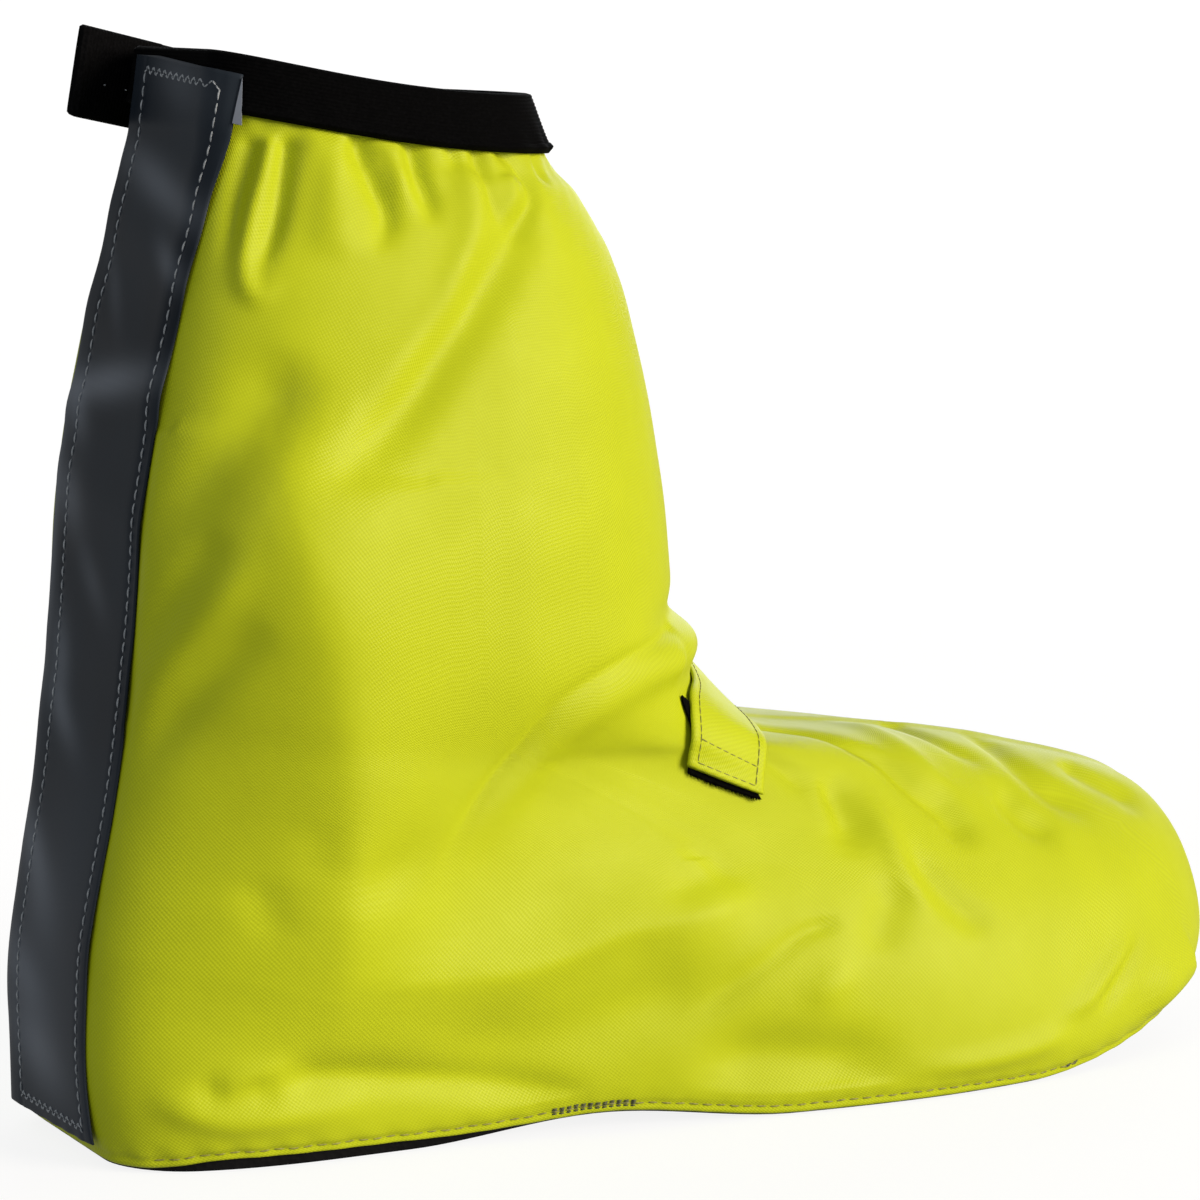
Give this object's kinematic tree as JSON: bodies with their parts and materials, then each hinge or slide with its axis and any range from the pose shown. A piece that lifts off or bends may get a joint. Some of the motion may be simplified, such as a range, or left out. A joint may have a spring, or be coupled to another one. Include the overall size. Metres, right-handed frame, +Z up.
{
  "type": "cycling overshoe",
  "caption": "Right-foot rain overshoe for cycling: hollow yellow fabric boot cover with black sole panel, elastic collar, grey reflective back strip and hook-and-loop instep strap.",
  "frame": {"origin": "on the floor under the middle of the part's box", "axes": "+X from heel to toe, +Y to the inner (medial) side, +Z up; the outer (lateral) side is -Y"},
  "size_m": [0.3046, 0.1159, 0.2471],
  "materials": {
    "yellow_fabric": "coated woven fabric, safety yellow, satin",
    "black_sole": "rubberised reinforced panel, matte",
    "black_elastic": "ribbed elastic, matte",
    "grey_tape": "dark grey reflective tape, satin",
    "yellow_strap": "folded coated fabric, stitched, satin",
    "black_hook": "hook-and-loop, fuzzy, matte",
    "black_webbing": "ribbed webbing, matte"
  },
  "bodies": {
    "root": {"upper": "yellow_fabric", "sole": "black_sole", "collar_band": "black_elastic", "reflective_strip": "grey_tape", "instep_strap": "yellow_strap", "strap_loop_patch": "black_hook", "collar_tab": "black_webbing"}
  },
  "joints": []
}
